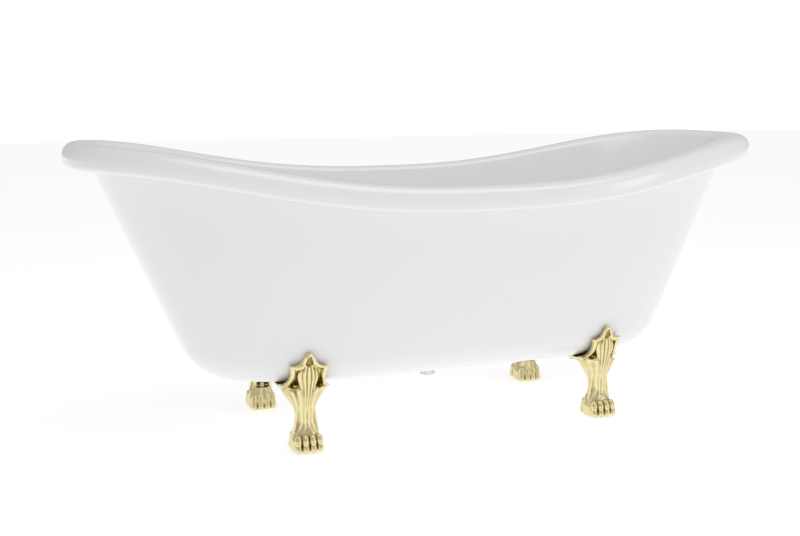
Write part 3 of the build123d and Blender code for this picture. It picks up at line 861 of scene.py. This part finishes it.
def blade():
    half, front = curve(BLADE_HALF), curve(BLADE_FRONT)
    across = V / half
    vein = 1.1 * bump(across, 0.0, 0.10) + 0.9 * (bump(across, 0.42, 0.1) + bump(across, -0.42, 0.1))
    groove = 2.2 * (bump(across, 0.22, 0.08) + bump(across, -0.22, 0.08))
    groove += 2.0 * (bump(across, 0.62, 0.09) + bump(across, -0.62, 0.09))
    fade = np.clip((Z - 96) / 14, 0, 1) * np.clip((216 - Z) / 14, 0, 1)
    crown = 8.5 * np.abs(across) ** 2.2
    surface = U - (front - crown + (vein - groove) * fade)
    sides = (np.abs(V) - half) * 0.9
    body = soft_max(surface, sides, 3.0)
    body = soft_max(body, front - 28.0 - U, 2.0)
    body = np.maximum(body, 90.0 - Z)
    return soft_max(body, Z - 230.0, 3.0)


def lobes():
    """Petals beside the blade: two long ones on the knee and two that hook over at the top."""
    field = np.full(np.broadcast(V, U, Z).shape, 50.0, np.float32)
    for side in (-1, 1):
        for part in (
            rod((side * 19, 205, 143), (side * 11, 198.5, 104), 6.0, 3.6),
            rod((side * 34, 199, 139), (side * 16, 193, 98), 4.2, 3.0),
            rod((side * 26, 215, 193), (side * 15, 218, 197), 3.6, 4.8),
        ):
            field = soft_min(field, part, 3.0)
    return field


def curled_tip():
    field = rod((-11.5, 220, 201), (-7.0, 226, 219), 3.9, 3.8)
    field = np.minimum(field, rod((11.5, 220, 201), (7.0, 226, 219), 3.9, 3.8))
    field = soft_min(field, rod((-7.0, 226, 219), (0, 227.0, 226), 3.8, 4.0), 1.5)
    return soft_min(field, rod((7.0, 226, 219), (0, 227.0, 226), 3.8, 4.0), 1.5)


# %% [markdown]
# The leg's front carries flutes that flare out over the ankle, and two small pits where they
# start. Below, the paw has four toes. Each toe is a knuckle, a long pad and a blunt claw, close
# enough to its neighbour to leave a deep cleft. The heel repeats the toes more softly, so the
# paw also looks right from behind the tub.


# %% Flutes and toes
def flutes():
    field = np.full(np.broadcast(V, U, Z).shape, 50.0, np.float32)
    for side in (-1, 1):
        upper = rod((side * 4.6, 200.5, 102), (side * 3.8, 200.0, 68), 3.4, 2.6)
        lower = rod((side * 3.8, 200.0, 68), (side * 10.0, 204.0, 44), 2.6, 1.2)
        outer = rod((side * 13.0, 197.5, 104), (side * 10.5, 197.0, 72), 4.6, 3.8)
        flare = rod((side * 10.5, 197.0, 72), (side * 23.0, 199.0, 42), 3.8, 2.0)
        side_vein = rod((side * 19.0, 190.0, 100), (side * 27.0, 190.0, 46), 3.2, 3.4)
        heel_vein = rod((side * 6.0, 165.0, 62), (side * 11.0, 160.0, 36), 3.2, 2.0)
        for part in (upper, lower, outer, flare, side_vein, heel_vein):
            field = soft_min(field, part, 2.5)
    return field


TOES = (-24.8, -8.4, 8.4, 24.8)


def toes():
    field = None
    for v in TOES:
        back = abs(v) * 0.14
        spread = v * 1.03
        knuckle = egg((v * 0.97, 213.0 - back, 31), (7.9, 9.5, 10.5))
        pad = rod((v, 216.0 - back, 27), (spread, 220.0 - back, 9.5), 7.6, 7.3)
        claw = rod((spread, 223.5 - back, 11), (spread, 225.0 - back, 4.4), 3.6, 2.6)
        one = soft_min(soft_min(knuckle, pad, 3.0), claw, 2.0)
        one = one + bump(Z, 19.5, 1.6) * 1.0
        field = one if field is None else np.minimum(field, one)
        heel = rod((v * 0.94, 161.5 + back, 33), (v * 1.0, 157.5 + back, 8), 7.2, 7.6)
        field = np.minimum(field, heel)
    return np.maximum(field, 1.2 - Z)


def pits():
    """Pockets and drill-like pits carved into the front."""
    pocket = rod((0, 225, 206), (0, 228, 216.5), 8.4, 4.6)
    for side in (-1, 1):
        pocket = np.minimum(pocket, rod((side * 7.0, 206, 101), (side * 6.2, 204, 93), 3.0, 1.6))
        pocket = np.minimum(pocket, rod((side * 20.0, 225, 190), (side * 15, 221, 160), 1.5, 1.0))
    groove = rod((0, 205.0, 94), (0, 204.0, 56), 2.2, 2.8)
    instep = rod((-13.0, 214.0, 48), (13.0, 214.0, 48), 6.0, 6.0)
    return np.minimum(np.minimum(pocket, groove), instep)


# %% [markdown]
# A cast foot isn't solid. It is cored out from below with an even wall, and the core runs out at
# the back above the heel, so that a spanner reaches the lock nut. Both hollows come from the
# field itself: the first is the form shrunk by the wall thickness, and the second is everything
# behind the front wall. The bolting shelf, the leveller's boss and its web go in afterwards, and
# the tub's own shape is cut away last.

# %% Assemble the foot's field
WALL = 5.4
HEEL_TOP = 57.0
SHELF_TOP = 144.0
BOLT_U = 112.0
BOLT_V = 28.0


def foot_field():
    solid = soft_min(leg(), knee(), 5.0)
    solid = soft_min(solid, toes(), 1.6)
    solid = soft_min(solid, flutes(), 3.0)
    solid = soft_min(solid, leaf(), 2.5)
    solid = soft_min(solid, lobes(), 6.0)
    solid = soft_min(solid, blade(), 1.6)
    solid = soft_min(solid, curled_tip(), 1.6)
    solid = soft_max(solid, -pits(), 1.0)
    core = solid + WALL
    behind = np.minimum.accumulate(core[:, ::-1, :], axis=1)[:, ::-1, :]
    deep = np.where(Z > HEEL_TOP, np.maximum(behind, Z - 129.0), np.maximum(core, Z - HEEL_TOP))
    solid = soft_max(solid, -deep, 1.2)
    open_below = np.maximum(leg() + WALL + 1.0, Z - 12.0)
    solid = soft_max(solid, -open_below, 1.0)
    shelf = slab((0, 133.0, SHELF_TOP - 5.0), (42.0, 35.0, 5.0), 1.6)
    boss = np.maximum(np.hypot(V, U - LEVELER_U) - 10.5, np.abs(Z - 40.5) - 19.5)
    web = slab((0, LEVELER_U, 50.0), (17.5, 4.0, 10.0), 1.2)
    rib = slab((0, LEVELER_U + 11, 50.0), (4.0, 8.0, 10.0), 1.2)
    solid = soft_min(solid, shelf, 2.5)
    for part in (boss, web, rib):
        solid = soft_min(solid, part, 2.0)
    solid = np.maximum(solid, 1.0 - OFF_TUB)
    solid = np.maximum(solid, 5.3 - np.hypot(V, U - LEVELER_U))
    pad_room = np.maximum(np.hypot(V, U - LEVELER_U) - 14.5, Z - 12.0)
    solid = np.maximum(solid, -pad_room)
    for side in (-1, 1):
        hole = 4.5 - np.hypot(V - side * BOLT_V, U - BOLT_U)
        solid = np.where(Z > 120, np.maximum(solid, hole), solid)
    return np.maximum(solid, 1.2 - Z).astype(np.float32)


def box_blur(values, reach):
    """Mean over a cube, by running sums along each axis."""
    for axis in range(3):
        width = 2 * reach + 1
        pads = [(0, 0)] * 3
        pads[axis] = (reach + 1, reach)
        total = np.cumsum(np.pad(values, pads, mode="edge"), axis=axis, dtype=np.float64)
        high = np.take(total, range(width, total.shape[axis]), axis=axis)
        low = np.take(total, range(0, total.shape[axis] - width), axis=axis)
        values = ((high - low) / width).astype(np.float32)
    return values


def sample(values, points):
    """Value of a grid at points given in grid steps, blended between the eight nearest."""
    low = np.clip(np.floor(points).astype(int), 0, np.array(values.shape) - 2)
    part = np.clip(points - low, 0, 1)
    total = np.zeros(len(points), np.float32)
    for corner in range(8):
        step = np.array([(corner >> axis) & 1 for axis in range(3)])
        weight = np.prod(np.where(step == 1, part, 1 - part), axis=1)
        x, y, z = (low + step).T
        total += weight * values[x, y, z]
    return total


field = foot_field()
volume = openvdb.FloatGrid()
volume.background = 4.0
volume.copyFromArray(np.clip(field, -4.0, 4.0))
points, _, quads = volume.convertToPolygons(0.0, 0.0)
# Tone mask for the gold. The fine blur rises in the casting's hollows. The broad blur counts the tub
# as metal and rises next to the tub. The mask is partly the casting's darker hollows and partly
# painted shade in the hollows and where the foot meets the tub.
metal = np.clip(0.5 - field / (2 * VOXEL), 0, 1)
near_tub = np.maximum(metal, np.clip(0.5 - OFF_TUB / (2 * VOXEL), 0, 1))
fine = sample(box_blur(box_blur(metal, 1), 2), points)
broad = sample(box_blur(box_blur(near_tub, 4), 4), points)
PATINA_AND_SHADE = np.clip(0.30 + 3.2 * (fine - 0.50) + 2.2 * (broad - 0.50), 0, 1)
FOOT_POINTS = points * VOXEL + grid_low
print("foot mesh", len(points), "points", len(quads), "quads", "recess mean", PATINA_AND_SHADE.mean().round(3))
print("recess spread", np.percentile(PATINA_AND_SHADE, [5, 25, 50, 75, 95]).round(2))


# %% One foot for every corner
def make_foot(name, sx, sy):
    """Foot at the corner (sx, sy), in the tub's frame; a mirrored one has its faces flipped."""
    place = np.empty_like(FOOT_POINTS)
    place[:, 0] = sx * (FOOT_X + FOOT_POINTS[:, 0] * MM)
    place[:, 1] = sy * FOOT_POINTS[:, 1] * MM
    place[:, 2] = FOOT_POINTS[:, 2] * MM
    mesh = bpy.data.meshes.new(name)
    mesh.from_pydata(place.tolist(), [], quads.tolist())
    # Stores the tone mask: the casting's darker hollows plus painted shade in the hollows and next
    # to the tub.
    mesh.attributes.new("patina_and_shade", "FLOAT", "POINT").data.foreach_set("value", PATINA_AND_SHADE)
    mesh.materials.append(PALE_GOLD)
    piece = bpy.data.objects.new(name, mesh)
    bpy.context.scene.collection.objects.link(piece)
    work = bmesh.new()
    work.from_mesh(mesh)
    bmesh.ops.recalc_face_normals(work, faces=work.faces)
    bmesh.ops.smooth_vert(work, verts=work.verts, factor=0.4, use_axis_x=True, use_axis_y=True,
                          use_axis_z=True)
    for face in work.faces:
        face.smooth = True
    work.to_mesh(mesh)
    work.free()
    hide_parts(name[:-5])
    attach(piece, "tub")
    return piece


CORNERS = {
    "front_left": (-1, -1), "front_right": (1, -1), "rear_left": (-1, 1), "rear_right": (1, 1),
}
for corner, (sx, sy) in CORNERS.items():
    foot = make_foot(f"foot_{corner}_cast", sx, sy)
    print(foot.name, [round(v, 4) for v in foot.dimensions])

# %% [markdown]
# Screw threads repeat along an axis, so a tree makes them: a spiral curve carries a small
# three-sided profile round a core. It makes the four levelling studs. The lowest part of each
# stud, inside its pad, has no thread.


# %% The screw thread tree
def make_thread_tree():
    sizes = ["Radius", "Pitch", "Length", "Bottom"]
    tree, start, end = geometry_tree("screw_thread", sizes)
    given = {name: Rule(tree, start.outputs[name]) for name in sizes}
    core = add(tree, "GeometryNodeMeshCylinder", i_Vertices=28)
    spiral = add(tree, "GeometryNodeCurveSpiral", i_Resolution=22)
    profile = add(tree, "GeometryNodeCurvePrimitiveCircle", i_Resolution=3)
    cover = add(tree, "GeometryNodeCurveToMesh")
    cover.inputs["Fill Caps"].default_value = True
    join = add(tree, "GeometryNodeJoinGeometry")
    lift_core, lift_thread = add(tree, "GeometryNodeTransform"), add(tree, "GeometryNodeTransform")
    depth = given["Pitch"] * 0.5
    inner = given["Radius"] - depth
    tree.links.new((inner + depth * 0.15).socket, core.inputs["Radius"])
    tree.links.new(given["Length"].socket, core.inputs["Depth"])
    turns = (given["Length"] - given["Pitch"]) / given["Pitch"]
    tree.links.new(turns.socket, spiral.inputs["Rotations"])
    tree.links.new((given["Length"] - given["Pitch"]).socket, spiral.inputs["Height"])
    for side in ("Start Radius", "End Radius"):
        tree.links.new((inner + depth * 0.35).socket, spiral.inputs[side])
    tree.links.new((depth * 0.62).socket, profile.inputs["Radius"])
    tree.links.new(spiral.outputs["Curve"], cover.inputs["Curve"])
    tree.links.new(profile.outputs["Curve"], cover.inputs["Profile Curve"])
    for node, source, rise in (
        (lift_core, core.outputs["Mesh"], given["Bottom"] + given["Length"] * 0.5),
        (lift_thread, cover.outputs["Mesh"], given["Bottom"] + given["Pitch"] * 0.5),
    ):
        offset = add(tree, "ShaderNodeCombineXYZ")
        tree.links.new(rise.socket, offset.inputs["Z"])
        tree.links.new(source, node.inputs["Geometry"])
        tree.links.new(offset.outputs["Vector"], node.inputs["Translation"])
        tree.links.new(node.outputs["Geometry"], join.inputs["Geometry"])
    finish_tree(tree, start, end, join.outputs["Geometry"])
    return tree


THREAD_TREE = make_thread_tree()
EMPTY = bpy.data.meshes.new("empty")
THREAD_PITCH = 0.0015
STUD_NECK = 0.006
for corner in CORNERS:
    node = "leveling_stud_" + corner
    low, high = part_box(node)
    values = {
        "Radius": (high.x - low.x) / 2, "Pitch": THREAD_PITCH,
        "Length": high.z - low.z - STUD_NECK,
        "Bottom": low.z + STUD_NECK, "Material": ZINC,
    }
    stud = run_tree(node + "_thread", EMPTY.copy(), THREAD_TREE, values)
    centre = (low + high) / 2
    stud.data.transform(Matrix.Translation((centre.x, centre.y, 0)))
    tidy_mesh(stud)
    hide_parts(node)
    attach(stud, "stud_" + corner)

# %% [markdown]
# Each foot hangs on two bolts that go up through its shelf into the base board. A real hex bolt
# has chamfered corners and a flat bearing face. A second tree makes one bolt from a hexagonal
# cylinder, a cone that trims its corners and a shank, and sets it out on a 2 by 4 pattern.


# %% The bolt tree
def make_bolt_tree():
    sizes = ["Across", "Head Low", "Head High", "Shank Radius", "Shank High", "Foot X", "Half Pitch",
             "Place Y"]
    tree, start, end = geometry_tree("foot_bolt_set", sizes)
    given = {name: Rule(tree, start.outputs[name]) for name in sizes}
    join = add(tree, "GeometryNodeJoinGeometry")

    def bar(sides, radius_low, radius_high, low, high):
        node = add(tree, "GeometryNodeMeshCone", i_Vertices=sides)
        tree.links.new(radius_low.socket, node.inputs["Radius Bottom"])
        tree.links.new(radius_high.socket, node.inputs["Radius Top"])
        tree.links.new((high - low).socket, node.inputs["Depth"])
        move, place = add(tree, "GeometryNodeTransform"), add(tree, "ShaderNodeCombineXYZ")
        tree.links.new(low.socket, place.inputs["Z"])
        tree.links.new(node.outputs["Mesh"], move.inputs["Geometry"])
        tree.links.new(place.outputs["Vector"], move.inputs["Translation"])
        tree.links.new(move.outputs["Geometry"], join.inputs["Geometry"])

    corner = given["Across"] * 0.5774
    chamfer = given["Across"] * 0.05
    bar(6, corner * 0.90, corner, given["Head Low"], given["Head Low"] + chamfer)
    bar(6, corner, corner, given["Head Low"] + chamfer, given["Head High"])
    bar(24, given["Shank Radius"], given["Shank Radius"], given["Head High"], given["Shank High"])
    points = add(tree, "GeometryNodeMeshGrid", i_Vertices_X=2, i_Vertices_Y=2)
    tree.links.new((given["Foot X"] * 2.0).socket, points.inputs["Size X"])
    tree.links.new((given["Place Y"] * 2.0).socket, points.inputs["Size Y"])
    pair = add(tree, "GeometryNodeMeshLine", i_Count=2)
    first, step = add(tree, "ShaderNodeCombineXYZ"), add(tree, "ShaderNodeCombineXYZ")
    tree.links.new((given["Half Pitch"] * -1.0).socket, first.inputs["X"])
    tree.links.new((given["Half Pitch"] * 2.0).socket, step.inputs["X"])
    tree.links.new(first.outputs["Vector"], pair.inputs["Start Location"])
    tree.links.new(step.outputs["Vector"], pair.inputs["Offset"])
    two, eight = add(tree, "GeometryNodeInstanceOnPoints"), add(tree, "GeometryNodeInstanceOnPoints")
    tree.links.new(pair.outputs["Mesh"], two.inputs["Points"])
    tree.links.new(join.outputs["Geometry"], two.inputs["Instance"])
    tree.links.new(points.outputs["Mesh"], eight.inputs["Points"])
    tree.links.new(two.outputs["Instances"], eight.inputs["Instance"])
    finish_tree(tree, start, end, eight.outputs["Instances"])
    return tree


bolt_low, bolt_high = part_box("foot_bolts")
BOLT_ACROSS = 0.013
BOLT_HEAD = 0.0053
BOLT_SHANK = 0.004
bolt_values = {
    "Across": BOLT_ACROSS, "Head Low": bolt_low.z, "Head High": bolt_low.z + BOLT_HEAD,
    "Shank Radius": BOLT_SHANK, "Shank High": bolt_high.z, "Foot X": FOOT_X,
    "Half Pitch": BOLT_V * MM, "Place Y": BOLT_U * MM, "Material": ZINC,
}
bolts = run_tree("foot_bolt_set", EMPTY.copy(), make_bolt_tree(), bolt_values)
tidy_mesh(bolts)
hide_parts("foot_bolts")
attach(bolts, "tub")
print("bolts", [round(v, 4) for v in bolts.dimensions], "CAD", bolt_low, bolt_high)

# %% [markdown]
# The floor is a plain pale sheet. The light is a soft white studio: an even pale sky, a tall
# soft box at the right front that draws a broad sheen on the tub's side, and one above. The
# sky looks pure white behind the tub, while it lights the tub a little less than that, so the
# white tub stays just darker than its background.

# %% Floor
FLOOR_REACH = 14.0


def make_floor():
    mesh = bpy.data.meshes.new("floor")
    r = FLOOR_REACH
    mesh.from_pydata([(-r, -r, 0), (r, -r, 0), (r, r, 0), (-r, r, 0)], [], [(0, 1, 2, 3)])
    floor = bpy.data.objects.new("floor", mesh)
    bpy.context.scene.collection.objects.link(floor)
    finish, tree, shader = new_finish("pale_floor", Roughness=0.9)
    give_colours(tree, shader, (0.62, 0.62, 0.62), (0.60, 0.60, 0.60), 2.0, 0.5)
    shader.inputs["Specular IOR Level"].default_value = 0.0
    shader.inputs["Emission Color"].default_value = (1, 1, 1, 1)
    shader.inputs["Emission Strength"].default_value = 0.62
    mesh.materials.append(finish)


make_floor()


# %% Studio light
def soft_box(name, place, target, size, power):
    light = bpy.data.lights.new(name, "AREA")
    light.shape = "RECTANGLE"
    light.size, light.size_y = size
    light.energy = power
    lamp = bpy.data.objects.new(name, light)
    lamp.location = place
    lamp.rotation_euler = (Vector(target) - Vector(place)).to_track_quat("-Z", "Y").to_euler()
    bpy.context.scene.collection.objects.link(lamp)


soft_box("right_box", (2.3, -2.4, 1.3), (0.6, -0.1, 0.4), (0.6, 2.0), 7)
soft_box("top_box", (0.3, -0.9, 3.4), (0.0, 0.0, 0.5), (3.0, 2.0), 30)


def make_sky():
    """White to look at, and a softer grey as light."""
    world = bpy.data.worlds.new("studio")
    bpy.context.scene.world = world
    world.use_nodes = True
    tree = world.node_tree
    light = tree.nodes["Background"]
    light.inputs["Color"].default_value = (0.98, 0.98, 1.0, 1)
    light.inputs["Strength"].default_value = 0.555
    seen = add(tree, "ShaderNodeBackground")
    seen.inputs["Color"].default_value = (1, 1, 1, 1)
    seen.inputs["Strength"].default_value = 1.05
    path, mix = add(tree, "ShaderNodeLightPath"), add(tree, "ShaderNodeMixShader")
    tree.links.new(path.outputs["Is Camera Ray"], mix.inputs[0])
    tree.links.new(light.outputs["Background"], mix.inputs[1])
    tree.links.new(seen.outputs["Background"], mix.inputs[2])
    tree.links.new(mix.outputs["Shader"], tree.nodes["World Output"].inputs["Surface"])


make_sky()

# %% Camera
def make_camera(place, yaw, pitch, lens):
    """A camera at a place; yaw turns it from +Y towards +X and pitch tips it down."""
    data = bpy.data.cameras.new("camera")
    camera = bpy.data.objects.new("camera", data)
    bpy.context.scene.collection.objects.link(camera)
    data.sensor_width, data.lens = 36.0, lens
    data.shift_x, data.shift_y = 0.0026, 0.0027
    look = Vector((sin(yaw) * cos(pitch), cos(yaw) * cos(pitch), -sin(pitch)))
    camera.location = place
    camera.rotation_euler = look.to_track_quat("-Z", "Y").to_euler()
    bpy.context.scene.camera = camera
    return camera


camera = make_camera((-1.1133, -2.5612, 0.8078), radians(21.99), radians(9.21), 51.9)
bpy.context.scene.view_settings.view_transform = "Standard"
print("camera at", [round(v, 3) for v in camera.location])
